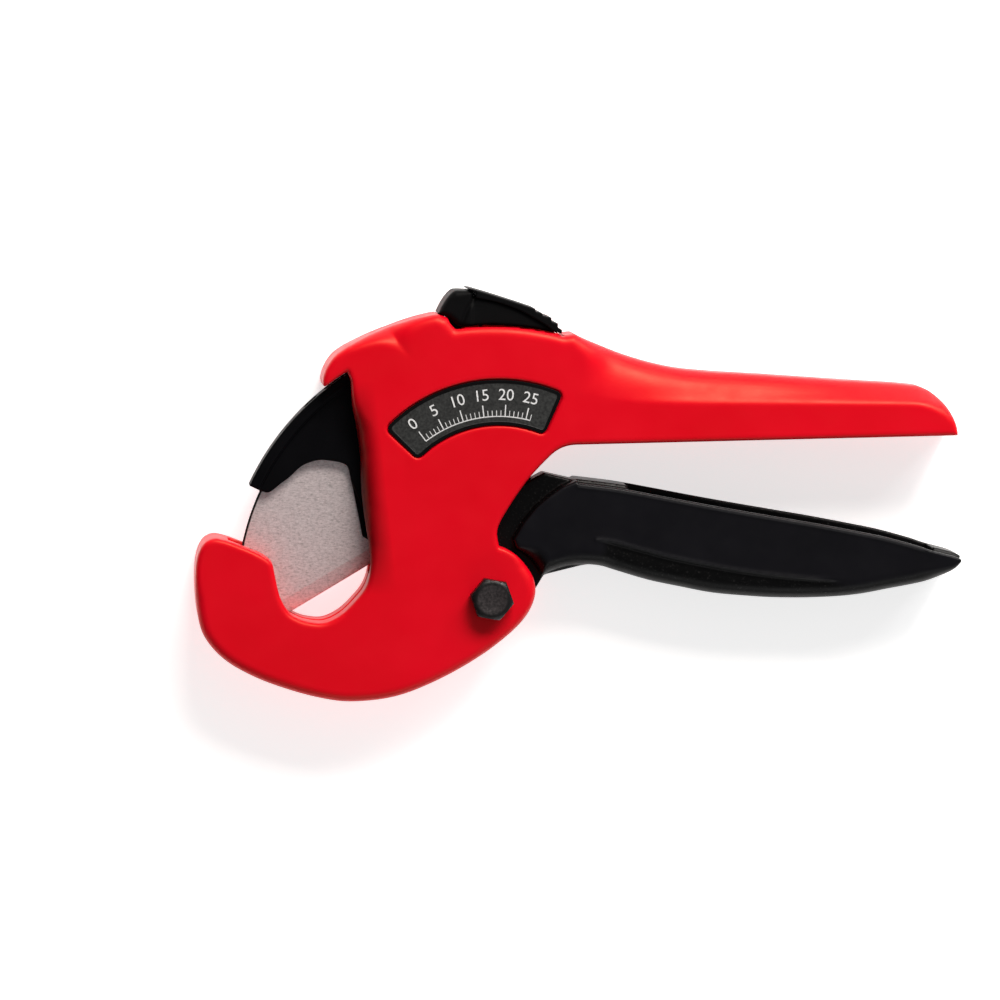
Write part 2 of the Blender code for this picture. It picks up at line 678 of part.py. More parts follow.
handle_coil = coil((0, 0), 8.3, 3.2, 4.9, 1.5, 20, 220)
handle_path = [polar(10.2, 205) + (3.2,), polar(9.4, 212) + (3.2,)] + handle_coil
handle_path += [polar(8.3, 40) + (5.6,), polar(8.3, 40) + (7.3,)]
add("handle_spring", wire(handle_path, 0.5, 6), "spring_wire")

# return spring: a long extension coil inside the fixed handle
start, end = Vector((14.0, 60.6, 10.0)), Vector((72.0, 49.7, 10.0))
axis = (end - start).normalized()
up = Vector((0, 0, 1))
across_v = axis.cross(up)
TURNS, STEPS, COIL_R = 17, 9, 1.9
path = [HOOK_HOLE + (8.6,), HOOK_HOLE + (12.9,), (HOOK_HOLE[0] + 1.0, 61.0, 13.7)]
path += [(8.0, 60.9, 13.6), (12.0, 60.8, 12.6)]
for i in range(TURNS * STEPS + 1):
    a = 2 * math.pi * i / STEPS
    p = start + (end - start) * (i / (TURNS * STEPS))
    p = p + COIL_R * (math.cos(a) * up + math.sin(a) * across_v)
    path.append(tuple(p))
path += [(73.6, 49.4, 11.2), (75.3, 49.2, 10.2)]
path += [q + (10.0,) for q in arc(2.3, 150, -120, 9, ANCHOR)]
add("return_spring", wire(path, 0.4, 5), "spring_wire")

add("stop_pin", cylinder(1.8, 1.3, 18.7, 16, STOP_PIN), "spring_wire")
add("spring_anchor_pin", cylinder(1.5, 1.3, 18.7, 16, ANCHOR), "spring_wire")
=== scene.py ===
import math

import bpy
import numpy as np
from mathutils import Matrix, Vector


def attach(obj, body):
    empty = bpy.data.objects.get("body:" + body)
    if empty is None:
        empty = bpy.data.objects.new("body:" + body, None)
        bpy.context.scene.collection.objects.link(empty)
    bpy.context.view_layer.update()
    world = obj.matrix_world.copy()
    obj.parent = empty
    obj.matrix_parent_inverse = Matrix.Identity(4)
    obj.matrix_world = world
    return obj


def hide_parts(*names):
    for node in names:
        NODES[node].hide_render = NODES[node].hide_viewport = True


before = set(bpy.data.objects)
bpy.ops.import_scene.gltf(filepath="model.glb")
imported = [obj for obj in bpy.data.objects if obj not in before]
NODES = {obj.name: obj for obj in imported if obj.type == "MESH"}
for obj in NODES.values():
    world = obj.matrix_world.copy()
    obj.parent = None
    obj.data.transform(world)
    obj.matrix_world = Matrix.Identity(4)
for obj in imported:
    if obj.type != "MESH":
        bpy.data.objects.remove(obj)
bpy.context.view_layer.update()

MM = 0.001
CX, CY = 23.5, 26.75  # the bolt's axis lies this far below and left of the frame's origin


# ------------------------------------------------------------------ 2-D shapes
def polar(radius, degrees, centre=(0.0, 0.0)):
    a = math.radians(degrees)
    return (centre[0] + radius * math.cos(a), centre[1] + radius * math.sin(a))


def arc(radius, start, end, count, centre=(0.0, 0.0)):
    return [polar(radius, start + (end - start) * i / count, centre) for i in range(count + 1)]


def smooth(points, steps=5):
    ends = [points[0]] + list(points) + [points[-1]]
    out = []
    for i in range(1, len(ends) - 2):
        a, b, c, d = ends[i - 1 : i + 3]
        for k in range(steps):
            t = k / steps
            out.append(tuple(
                0.5 * (2 * b[n] + (c[n] - a[n]) * t
                       + (2 * a[n] - 5 * b[n] + 4 * c[n] - d[n]) * t * t
                       + (3 * b[n] - a[n] - 3 * c[n] + d[n]) * t**3)
                for n in (0, 1)))
    return out + [tuple(points[-1])]


class Field:
    """A signed distance field on a grid in bolt millimetres, negative inside."""

    def __init__(self, lo, hi, h):
        self.lo = np.array(lo, float)
        self.h = h
        n = [int(math.ceil((b - a) / h)) + 1 for a, b in zip(lo, hi)]
        self.x, self.y, self.z = [np.float32(a + h * np.arange(k)) for a, k in zip(lo, n)]
        self.X, self.Y = np.meshgrid(self.x, self.y, indexing="ij")

    def line(self, points, closed=False):
        """Unsigned distance to a polyline."""
        best = np.full(self.X.shape, 1e9, np.float32)
        pts = list(points) + ([points[0]] if closed else [])
        for (ax, ay), (bx, by) in zip(pts, pts[1:]):
            dx, dy = bx - ax, by - ay
            ll = dx * dx + dy * dy
            if ll < 1e-12:
                continue
            t = np.clip(((self.X - ax) * dx + (self.Y - ay) * dy) / ll, 0, 1)
            np.minimum(best, (self.X - ax - t * dx) ** 2 + (self.Y - ay - t * dy) ** 2, out=best)
        return np.sqrt(best)

    def poly(self, points):
        """Signed distance to a closed outline."""
        d = self.line(points, True)
        inside = np.zeros(self.X.shape, bool)
        pts = list(points) + [points[0]]
        for (ax, ay), (bx, by) in zip(pts, pts[1:]):
            if ay == by:
                continue
            crosses = (self.Y < ay) != (self.Y < by)
            inside ^= crosses & (self.X < (bx - ax) * (self.Y - ay) / (by - ay) + ax)
        return np.where(inside, -d, d).astype(np.float32)

    def disc(self, radius, centre=(0.0, 0.0)):
        return (np.hypot(self.X - centre[0], self.Y - centre[1]) - radius).astype(np.float32)

    def slab(self, d2, z0, z1, r=0.4):
        """The 2-D shape extruded from z0 to z1 with its edges rounded by r (a number or a map)."""
        r2 = np.asarray(r, np.float32)
        mid, half = (z0 + z1) / 2, (z1 - z0) / 2
        q1 = (d2 + r2)[..., None]
        q2 = (np.abs(self.z - np.float32(mid)) - np.float32(half))[None, None, :] + (r2[..., None] if r2.ndim else r2)
        outer = np.sqrt(np.maximum(q1, 0) ** 2 + np.maximum(q2, 0) ** 2)
        return outer + np.minimum(np.maximum(q1, q2), 0) - (r2[..., None] if r2.ndim else r2)

    def pillow(self, d2, low, high, r):
        """As slab, with maps for the lower and upper faces."""
        r2 = np.asarray(r, np.float32)
        rr = r2[..., None] if r2.ndim else r2
        q1 = (d2 + r2)[..., None]
        z = self.z[None, None, :]
        q2 = np.maximum(z - np.asarray(high, np.float32)[..., None], np.asarray(low, np.float32)[..., None] - z) + rr
        outer = np.sqrt(np.maximum(q1, 0) ** 2 + np.maximum(q2, 0) ** 2)
        return outer + np.minimum(np.maximum(q1, q2), 0) - rr


def join(a, b, k=0.3):
    h = np.maximum(k - np.abs(a - b), 0) / k
    return np.minimum(a, b) - h * h * k * 0.25


def cut(a, b, k=0.3):
    return -join(-a, b, k)


def step(x, a, b):
    t = np.clip((x - a) / (b - a), 0, 1)
    return t * t * (3 - 2 * t)


def surface(name, f, D, mat, body, nodes):
    """A mesh on the zero level of D, its points projected on it and its normals from the field."""
    inside = D < 0
    c = inside.astype(np.uint8)
    s = sum(c[i: c.shape[0] - 1 + i, j: c.shape[1] - 1 + j, k: c.shape[2] - 1 + k]
            for i in (0, 1) for j in (0, 1) for k in (0, 1))
    active = (s > 0) & (s < 8)
    index = np.full(active.shape, -1, np.int64)
    ijk = np.argwhere(active)
    index[active] = np.arange(len(ijk))
    acc = np.zeros((len(ijk), 3))
    count = np.zeros(len(ijk))
    for axis in range(3):
        for u in (0, 1):
            for v in (0, 1):
                a = np.zeros(3, int)
                o = [n for n in range(3) if n != axis]
                a[o[0]], a[o[1]] = u, v
                b = a.copy()
                b[axis] = 1
                pa, pb = ijk + a, ijk + b
                da, db = D[pa[:, 0], pa[:, 1], pa[:, 2]], D[pb[:, 0], pb[:, 1], pb[:, 2]]
                m = (da < 0) != (db < 0)
                t = (da[m] / (da[m] - db[m]))[:, None]
                acc[m] += pa[m] + t * (b - a)
                count[m] += 1
    P = acc / count[:, None]
    G = np.gradient(D)

    def sample(A, q):
        q = np.clip(q, 0, np.array(A.shape) - 1.001)
        i = q.astype(int)
        w = q - i
        out = 0
        for a in (0, 1):
            for b in (0, 1):
                for e in (0, 1):
                    out = out + A[i[:, 0] + a, i[:, 1] + b, i[:, 2] + e] * (
                        (w[:, 0] if a else 1 - w[:, 0]) * (w[:, 1] if b else 1 - w[:, 1]) * (w[:, 2] if e else 1 - w[:, 2]))
        return out

    for _ in range(3):
        g = np.stack([sample(a, P) for a in G], 1)
        d = sample(D, P)
        move = -g * (d / np.maximum((g * g).sum(1), 1e-3))[:, None]
        P = P + np.clip(move, -0.35, 0.35)
    g = np.stack([sample(a, P) for a in G], 1)
    g /= np.maximum(np.linalg.norm(g, axis=1), 1e-9)[:, None]
    quads = []
    for axis in range(3):
        lo = [slice(None)] * 3
        hi = [slice(None)] * 3
        lo[axis], hi[axis] = slice(0, -1), slice(1, None)
        o = [(axis + 1) % 3, (axis + 2) % 3]
        for n in o:
            lo[n] = hi[n] = slice(1, -1)
        ca, cb = inside[tuple(lo)], inside[tuple(hi)]
        for mask, flip in ((ca & ~cb, False), (~ca & cb, True)):
            at = np.argwhere(mask)
            for n in o:
                at[:, n] += 1
            corners = []
            for u, v in ((-1, -1), (0, -1), (0, 0), (-1, 0)):
                p = at.copy()
                p[:, o[0]] += u
                p[:, o[1]] += v
                corners.append(index[p[:, 0], p[:, 1], p[:, 2]])
            q = np.stack(corners, 1)
            quads.append(q[:, ::-1] if flip else q)
    quads = np.concatenate(quads)
    co = (f.lo + P * f.h - np.array([CX, CY, 0.0])) * MM
    mesh = bpy.data.meshes.new(name)
    mesh.vertices.add(len(co))
    mesh.vertices.foreach_set("co", co.astype(np.float32).ravel())
    mesh.loops.add(len(quads) * 4)
    mesh.loops.foreach_set("vertex_index", quads.astype(np.int32).ravel())
    mesh.polygons.add(len(quads))
    mesh.polygons.foreach_set("loop_start", np.arange(0, len(quads) * 4, 4, dtype=np.int32))
    mesh.update(calc_edges=True)
    mesh.validate()
    mesh.shade_smooth()
    if len(mesh.vertices) == len(g):
        mesh.normals_split_custom_set_from_vertices([tuple(n) for n in g])
    obj = bpy.data.objects.new(name, mesh)
    bpy.context.scene.collection.objects.link(obj)
    mesh.materials.append(mat)
    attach(obj, body)
    if nodes:
        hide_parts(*nodes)
    print(name, len(co), "points", len(quads), "quads")
    return obj


# ------------------------------------------------------------------ materials
def tree(name, colour, roughness, metallic=0.0, **sockets):
    mat = bpy.data.materials.new(name)
    mat.use_nodes = True
    t = mat.node_tree
    shader = t.nodes["Principled BSDF"]
    shader.inputs["Base Color"].default_value = (*colour, 1)
    shader.inputs["Roughness"].default_value = roughness
    shader.inputs["Metallic"].default_value = metallic
    for key, value in sockets.items():
        shader.inputs[key.replace("_", " ")].default_value = value
    place = t.nodes.new("ShaderNodeTexCoord")
    return mat, t, shader, place.outputs["Object"]


def noise(t, where, scale, detail=4.0, rough=0.55, stretch=None, turn=0.0):
    if stretch:
        m = t.nodes.new("ShaderNodeMapping")
        m.inputs["Scale"].default_value = stretch
        m.inputs["Rotation"].default_value = (0, 0, turn)
        t.links.new(where, m.inputs["Vector"])
        where = m.outputs["Vector"]
    n = t.nodes.new("ShaderNodeTexNoise")
    n.inputs["Scale"].default_value = scale
    n.inputs["Detail"].default_value = detail
    n.inputs["Roughness"].default_value = rough
    t.links.new(where, n.inputs["Vector"])
    return n.outputs["Fac"]


def ramp(t, value, stops):
    r = t.nodes.new("ShaderNodeValToRGB")
    r.color_ramp.elements[0].position, r.color_ramp.elements[1].position = stops[0][0], stops[-1][0]
    r.color_ramp.elements[0].color = (*stops[0][1], 1)
    r.color_ramp.elements[1].color = (*stops[-1][1], 1)
    for pos, col in stops[1:-1]:
        e = r.color_ramp.elements.new(pos)
        e.color = (*col, 1)
    t.links.new(value, r.inputs["Fac"])
    return r.outputs["Color"]


def span(t, value, a, b, lo, hi):
    m = t.nodes.new("ShaderNodeMapRange")
    m.inputs["From Min"].default_value, m.inputs["From Max"].default_value = a, b
    m.inputs["To Min"].default_value, m.inputs["To Max"].default_value = lo, hi
    t.links.new(value, m.inputs["Value"])
    return m.outputs["Result"]


def bump(t, shader, height, distance, strength=1.0, normal=None):
    b = t.nodes.new("ShaderNodeBump")
    b.inputs["Strength"].default_value = strength
    b.inputs["Distance"].default_value = distance
    t.links.new(height, b.inputs["Height"])
    if normal:
        t.links.new(normal, b.inputs["Normal"])
    t.links.new(b.outputs["Normal"], shader.inputs["Normal"])
    return b.outputs["Normal"]


def red_enamel():
    mat, t, sh, at = tree("red_enamel", (0.80, 0.001, 0.012), 0.40)
    sh.inputs["Specular IOR Level"].default_value = 0.5
    sh.inputs["Specular Tint"].default_value = (1.0, 0.62, 0.36, 1.0)
    sh.inputs["IOR"].default_value = 1.36
    big = noise(t, at, 38, 3)
    enamel_tone = ramp(t, big, [(0.3, (0.76, 0.0003, 0.011)), (0.7, (0.83, 0.0008, 0.015))])
    # painted shade: a dark band along the wall's front edge, over the blade, where the shade falls
    across = t.nodes.new("ShaderNodeVectorMath")
    across.operation = "DOT_PRODUCT"
    across.inputs[1].default_value = (0.9939, 0.1102, 0)
    t.links.new(at, across.inputs[0])
    zero = (0.9939 * (-36.5 - CX) + 0.1102 * (56.4 - CY)) * MM
    parts = t.nodes.new("ShaderNodeSeparateXYZ")
    t.links.new(at, parts.inputs[0])
    masks = [span(t, across.outputs["Value"], zero + 0.0004, zero + 0.0060, 0.92, 0.0),
             span(t, across.outputs["Value"], zero - 0.0040, zero - 0.0025, 0.0, 1.0),
             span(t, parts.outputs["Y"], (1.0 - CY) * MM, (14.0 - CY) * MM, 0.0, 1.0),
             span(t, parts.outputs["Y"], (46.0 - CY) * MM, (57.0 - CY) * MM, 1.0, 0.0),
             span(t, noise(t, at, 90, 4), 0.3, 0.6, 0.8, 1.0)]
    mask = masks[0]
    for other in masks[1:]:
        times = t.nodes.new("ShaderNodeMath")
        times.operation = "MULTIPLY"
        t.links.new(mask, times.inputs[0])
        t.links.new(other, times.inputs[1])
        mask = times.outputs[0]
    # the painted shade is mixed over the enamel's own tone
    painted_shade = t.nodes.new("ShaderNodeMix")
    painted_shade.data_type = "RGBA"
    painted_shade.inputs[7].default_value = (0.035, 0.0004, 0.0015, 1)
    t.links.new(mask, painted_shade.inputs[0])
    t.links.new(enamel_tone, painted_shade.inputs[6])
    t.links.new(painted_shade.outputs[2], sh.inputs["Base Color"])
    t.links.new(span(t, noise(t, at, 160, 4), 0.3, 0.7, 0.31, 0.44), sh.inputs["Roughness"])
    n = bump(t, sh, noise(t, at, 900, 3), 0.00003, 0.6)
    bump(t, sh, noise(t, at, 3200, 2), 0.000012, 0.5, n)
    return mat


def black(name, tint, rough, grain, depth, lift=1.6, gloss=1.25):
    mat, t, sh, at = tree(name, tint, rough)
    v = noise(t, at, 60, 4)
    t.links.new(ramp(t, v, [(0.3, tint), (0.75, tuple(c * lift for c in tint))]), sh.inputs["Base Color"])
    t.links.new(span(t, noise(t, at, 220, 5), 0.3, 0.7, rough - 0.07, rough + 0.08), sh.inputs["Roughness"])
    sh.inputs["Specular IOR Level"].default_value = 0.5
    sh.inputs["IOR"].default_value = gloss
    n = bump(t, sh, noise(t, at, grain, 3), depth, 0.8)
    bump(t, sh, noise(t, at, grain * 3.1, 2), depth * 0.4, 0.6, n)
    return mat


def handle_enamel():
    """Blue-black flanks, a darker speckled finger side, and a painted highlight: the raised bead and ridge that stand
    proud are coloured lighter.
    """
    mat, t, sh, at = tree("handle_enamel", (0.004, 0.004, 0.005), 0.36)
    sh.inputs["IOR"].default_value = 1.24
    parts = t.nodes.new("ShaderNodeSeparateXYZ")
    t.links.new(at, parts.inputs[0])
    off = t.nodes.new("ShaderNodeMath")
    off.operation = "SUBTRACT"
    off.inputs[1].default_value = 0.010
    t.links.new(parts.outputs["Z"], off.inputs[0])
    high = t.nodes.new("ShaderNodeMath")
    high.operation = "ABSOLUTE"
    t.links.new(off.outputs[0], high.inputs[0])
    flank = ramp(t, noise(t, at, 60, 4), [(0.3, (0.0042, 0.0041, 0.0058)), (0.75, (0.0062, 0.006, 0.0082))])
    dust = ramp(t, noise(t, at, 1900, 3, 0.7), [(0.60, (0.0012, 0.0012, 0.0014)), (0.70, (0.03, 0.03, 0.03))])

    def mix(mask, first, second):
        m = t.nodes.new("ShaderNodeMix")
        m.data_type = "RGBA"
        t.links.new(mask, m.inputs[0])
        t.links.new(first, m.inputs[6])
        if isinstance(second, tuple):
            m.inputs[7].default_value = second
        else:
            t.links.new(second, m.inputs[7])
        return m.outputs[2]

    colour = mix(span(t, high.outputs[0], 0.0084, 0.0088, 0.0, 1.0), dust, flank)
    # painted highlight: a lighter grey on the raised bead along the top edge and on the ridge
    colour = mix(span(t, high.outputs[0], 0.00912, 0.00924, 0.0, 0.7), colour, (0.045, 0.045, 0.048, 1))
    t.links.new(colour, sh.inputs["Base Color"])
    t.links.new(span(t, noise(t, at, 220, 5), 0.3, 0.7, 0.30, 0.44), sh.inputs["Roughness"])
    n = bump(t, sh, noise(t, at, 1400, 3), 0.00002, 0.8)
    bump(t, sh, noise(t, at, 4200, 2), 0.00001, 0.6, n)
    return mat


def blade_steel():
    mat, t, sh, at = tree("blade_steel", (0.6, 0.57, 0.56), 0.42, 0.62)
    strokes = noise(t, at, 1500, 4, 0.8, (0.55, 1.7, 1.0), math.radians(-50))
    mottle = noise(t, at, 1300, 5, 0.85)
    mix = t.nodes.new("ShaderNodeMix")
    mix.data_type = "FLOAT"
    mix.inputs[0].default_value = 0.45
    t.links.new(strokes, mix.inputs[2])
    t.links.new(mottle, mix.inputs[3])
    v = mix.outputs[0]
    face = ramp(t, v, [(0.36, (0.46, 0.405, 0.405)), (0.5, (0.79, 0.70, 0.705)), (0.64, (0.97, 0.89, 0.895))])
    # painted shadow: a thin black line along the blade's round back, where the edge's shadow falls
    flat = t.nodes.new("ShaderNodeVectorMath")
    flat.operation = "MULTIPLY"
    flat.inputs[1].default_value = (1, 1, 0)
    t.links.new(at, flat.inputs[0])
    away = t.nodes.new("ShaderNodeVectorMath")
    away.operation = "DISTANCE"
    away.inputs[1].default_value = (-CX * MM, -CY * MM, 0)
    t.links.new(flat.outputs["Vector"], away.inputs[0])
    edge_shadow_mask = span(t, away.outputs["Value"], 0.06525, 0.06545, 0.0, 1.0)
    edge_shadow_paint = t.nodes.new("ShaderNodeMix")
    edge_shadow_paint.data_type = "RGBA"
    edge_shadow_paint.inputs[7].default_value = (0.012, 0.011, 0.012, 1)
    t.links.new(edge_shadow_mask, edge_shadow_paint.inputs[0])
    t.links.new(face, edge_shadow_paint.inputs[6])
    t.links.new(edge_shadow_paint.outputs[2], sh.inputs["Base Color"])
    t.links.new(span(t, v, 0.3, 0.7, 0.36, 0.56), sh.inputs["Roughness"])
    bump(t, sh, v, 0.00007, 0.8)
    return mat


def bolt_oxide():
    """Blackened steel, lighter grey and grainy on the flat of the bolt's head and near black on its chamfer."""
    mat, t, sh, at = tree("bolt_oxide", (0.009, 0.0075, 0.0078), 0.38)
    sh.inputs["IOR"].default_value = 1.45
    grain = noise(t, at, 1500, 5, 0.75)
    lighter_centre = ramp(t, grain, [(0.36, (0.009, 0.0075, 0.0078)), (0.62, (0.046, 0.038, 0.040))])
    flat = t.nodes.new("ShaderNodeVectorMath")
    flat.operation = "MULTIPLY"
    flat.inputs[1].default_value = (1, 1, 0)
    t.links.new(at, flat.inputs[0])
    away = t.nodes.new("ShaderNodeVectorMath")
    away.operation = "DISTANCE"
    away.inputs[1].default_value = (-CX * MM, -CY * MM, 0)
    t.links.new(flat.outputs["Vector"], away.inputs[0])
    mix = t.nodes.new("ShaderNodeMix")
    mix.data_type = "RGBA"
    mix.inputs[7].default_value = (0.0022, 0.0020, 0.0023, 1)
    t.links.new(span(t, away.outputs["Value"], 0.0036, 0.0042, 0.0, 1.0), mix.inputs[0])
    t.links.new(lighter_centre, mix.inputs[6])
    t.links.new(mix.outputs[2], sh.inputs["Base Color"])
    t.links.new(span(t, grain, 0.3, 0.7, 0.30, 0.52), sh.inputs["Roughness"])
    bump(t, sh, grain, 0.00006, 0.9)
    return mat


def plate_print():
    mat, t, sh, at = tree("plate_print", (0.035, 0.037, 0.037), 0.5)
    v = noise(t, at, 1500, 3, 0.7)
    t.links.new(ramp(t, v, [(0.35, (0.008, 0.0085, 0.0085)), (0.65, (0.034, 0.036, 0.035))]), sh.inputs["Base Color"])
    t.links.new(span(t, v, 0.3, 0.7, 0.42, 0.6), sh.inputs["Roughness"])
    bump(t, sh, v, 0.00004, 0.7)
    return mat


def spring_steel(name, colour, rough):
    mat, t, sh, at = tree(name, colour, rough, 1.0)
    v = noise(t, at, 700, 4)
    t.links.new(ramp(t, v, [(0.3, tuple(c * 0.7 for c in colour)), (0.7, colour)]), sh.inputs["Base Color"])
    t.links.new(span(t, v, 0.3, 0.7, rough - 0.08, rough + 0.12), sh.inputs["Roughness"])
    bump(t, sh, v, 0.00002, 0.4)
    return mat


RED = red_enamel()
BLACK = black("black_enamel", (0.0022, 0.0022, 0.003), 0.34, 1400, 0.00002, 1.6, 1.2)
HOLDER = black("black_holder", (0.0022, 0.0022, 0.0028), 0.45, 1500, 0.00003, 1.7, 1.12)
HANDLE = handle_enamel()
GRIP = black("black_grip", (0.006, 0.006, 0.0065), 0.46, 1000, 0.00008, 2.2)
PLASTIC = black("black_plastic", (0.0026, 0.0027, 0.003), 0.48, 1700, 0.00003, 1.6, 1.16)
OXIDE = black("black_oxide", (0.009, 0.0075, 0.0078), 0.36, 700, 0.00005, 4.0, 1.45)
BOLT = bolt_oxide()
STEEL = blade_steel()
PLATE = plate_print()
WIRE = spring_steel("spring_wire", (0.42, 0.42, 0.43), 0.28)
BRONZE = spring_steel("bronze", (0.55, 0.36, 0.16), 0.32)
PAINT, _t, _sh, _at = tree("white_print", (0.82, 0.83, 0.84), 0.5)
_t.links.new(ramp(_t, noise(_t, _at, 2500, 2), [(0.3, (0.66, 0.67, 0.68)), (0.6, (0.88, 0.89, 0.9))]), _sh.inputs["Base Color"])

# ------------------------------------------------------------------ housing
HOOK_AND_BELLY = [
    (-69.3, 15.3), (-72.2, 15.7), (-74.8, 14.2), (-76.4, 10.5), (-76.9, 4.2), (-76.3, -4.0), (-74.4, -10.2),
    (-69.3, -16.0), (-61.4, -20.6), (-52.0, -24.1), (-43.0, -26.4), (-35.2, -27.1), (-24.7, -25.8), (-14.2, -21.8),
    (-3.7, -16.0), (4.5, -9.9), (9.4, -4.7), (11.6, 0.4), (11.3, 4.7), (9.3, 8.2), (6.6, 11.1), (3.9, 12.8), (2.1, 13.4)]
BACK_EDGE = [(2.1, 13.4), (1.6, 17.8), (4.2, 23.1), (9.4, 30.7), (14.7, 36.5), (17.6, 38.8), (20.5, 39.8), (24.0, 40.0)]
HANDLE_END_AND_TOP = [
    (122.2, 42.3), (121.6, 45.4), (119.7, 49.3), (117.1, 52.2), (113.8, 54.4), (109.2, 55.4), (93.5, 56.4), (72.5, 57.8),
    (56.0, 58.8), (46.2, 60.0), (35.7, 62.8), (25.2, 66.9), (21.5, 68.8)]
NOSE = [(-37.8, 65.2), (-40.9, 62.9), (-43.1, 59.6), (-43.9, 56.6), (-43.6, 54.9)]
FRONT_AND_SEAT = [
    (-36.5, 56.4), (-36.1, 50.0), (-34.9, 43.4), (-34.0, 36.8), (-33.9, 30.5), (-33.3, 24.2), (-32.4, 17.9), (-31.6, 13.1),
    (-31.3, 9.5), (-31.7, 5.6), (-32.9, 2.4), (-35.2, -0.6), (-38.9, -4.2), (-43.2, -6.3), (-47.5, -6.1), (-50.7, -5.0),
    (-52.8, -3.5), (-54.6, -0.4), (-55.6, 3.0), (-56.3, 6.4), (-57.3, 9.6), (-61.4, 12.2), (-66.7, 14.4), (-69.3, 15.3)]
ROOF_R, RECESS_R, BLADE_R = 69.7, 71.0, 65.9
LEVER_PIN = (0.5, 73.0)
PLATE_AT = (1.8, 16.3)

H = 0.5
f = Field((-78.5, -28.6, -1.1), (123.9, 77.4, 21.1), H)
outline = smooth(HOOK_AND_BELLY)[:-1] + smooth(BACK_EDGE) + smooth(HANDLE_END_AND_TOP)
outline += arc(RECESS_R, 74.5, 97.6, 16) + [(-11.6, 72.9), (-14.2, 73.9)] + arc(75.3, 102.5, 119, 14)
outline += smooth(NOSE) + arc(70.0, 127.6, 122.4, 5) + smooth(FRONT_AND_SEAT)[:-1]
O = f.poly(outline)
sharp = f.line([(5.2, 12.2)] + smooth(BACK_EDGE) + [(122.2, 42.3), (122.0, 44.0)])
rounding = 1.2 + 5.6 * step(sharp, 0.5, 14.0)
recess = f.line(arc(RECESS_R, 74.5, 97.6, 16) + [(-11.6, 72.9), (-14.2, 73.9), (-16.5, 73.6)])
rounding = np.minimum(rounding, 2.6 + 4.2 * step(recess, 0.0, 17.0))
hook = f.line([(-33.0, 5.0), (-34.5, 0.5)] + FRONT_AND_SEAT[11:] + HOOK_AND_BELLY[:4])
rounding = np.minimum(rounding, 1.3 + 5.5 * step(hook, 2.0, 30.0))
belly = f.line(HOOK_AND_BELLY[3:])
rounding = np.minimum(rounding, 2.6 + 4.2 * step(belly, 4.0, 26.0))
under_nose = f.line([(-43.9, 55.4), (-42.7, 55.5), (-37.5, 59.1), (-36.5, 56.4)])
rounding = np.minimum(rounding, 1.1 + 5.7 * step(under_nose, 0.5, 22.0))
# the wall's front edge, over the blade, turns down in a true quarter round
front = f.line(FRONT_AND_SEAT[:9])
rounding = np.minimum(rounding, 4.8 + 2.0 * step(front, 3.0, 14.0))
# the big roundings are wider than they are deep, which crowns the head and the handle
crown = 1.0 - 0.5 * step(rounding, 3.5, 6.6) * step(front, 3.0, 12.0)
body = f.slab(O * crown, 0.0, 20.0, rounding)
cavity = [(-33.0, 7.2), (-29.0, 4.0), (-23.5, -1.2), (-9.4, -6.0)] + arc(10.8, 212, 306, 14)
cavity += [(17.0, 2.5), (60.0, 2.5), (60.0, 30.0)] + arc(ROOF_R, 31, 131, 90) + [(-41.0, 14.0)]
D = cut(body, f.slab(f.poly(cavity), 5.5, 14.5, 0.6))
channel = [(26.5, 34.0), (119.3, 34.0), (118.8, 43.0), (116.4, 48.7), (112.6, 51.7), (100.0, 53.1), (72.5, 55.0),
           (56.0, 56.0), (46.2, 57.1), (36.5, 59.7), (29.0, 62.6), (26.5, 62.0)]
D = cut(D, f.slab(f.poly(channel), 3.6, 16.4, 0.8))
slot = [(-25.6, 6.5), (-25.6, 30.0), (-50.0, 46.0)] + arc(BLADE_R + 1.2, 145, 190.3, 20) + [(-50.5, -17.3), (-49.7, -16.9)]
D = cut(D, f.slab(f.poly(slot), 8.8, 11.2, 0.2), 0.15)
relief = arc(69.7, 150, 169.4, 12) + arc(62.6, 169.4, 150, 12)
D = cut(D, f.slab(f.poly(relief), 5.5, 14.5, 0.5))
pocket = arc(68.2, 74.6, 98.8, 12) + arc(78.0, 98.8, 74.6, 12)
D = cut(D, f.slab(f.poly(pocket), 1.7, 18.3, 0.3), 0.2)
opening = arc(67.5, 97.0, 100.2, 3) + arc(78.0, 100.2, 97.0, 3)
D = cut(D, f.slab(f.poly(opening), 5.5, 14.5, 0.3), 0.2)
lug = f.poly([(-3.1, 66.5), (4.2, 66.5)] + arc(2.7, -10, 190, 16, LEVER_PIN))
for z0, z1 in ((4.1, 5.55), (14.45, 15.9)):
    D = join(D, f.slab(lug, z0, z1, 0.2), 0.2)
D = cut(D, f.slab(f.disc(1.75, LEVER_PIN), 3.9, 16.1, 0.1), 0.1)
D = cut(D, f.slab(f.disc(3.4), -3.0, 23.0, 0.1), 0.4)
D = cut(D, f.slab(f.poly(arc(6.12, -10, 290, 5)), -3.0, 4.0, 0.1), 0.3)
ring = np.maximum(f.disc(9.7), -f.disc(6.9))
D = cut(D, f.slab(ring, 2.4, 6.0, 0.2), 0.2)
D = cut(D, f.slab(f.disc(1.9, polar(9.9, 208)), 2.4, 6.0, 0.2), 0.2)
for centre, r in ((polar(58.0, 46.8), 1.65), ((78.0, 48.4), 1.8)):
    D = cut(D, f.slab(f.disc(r, centre), 2.0, 18.0, 0.1), 0.1)


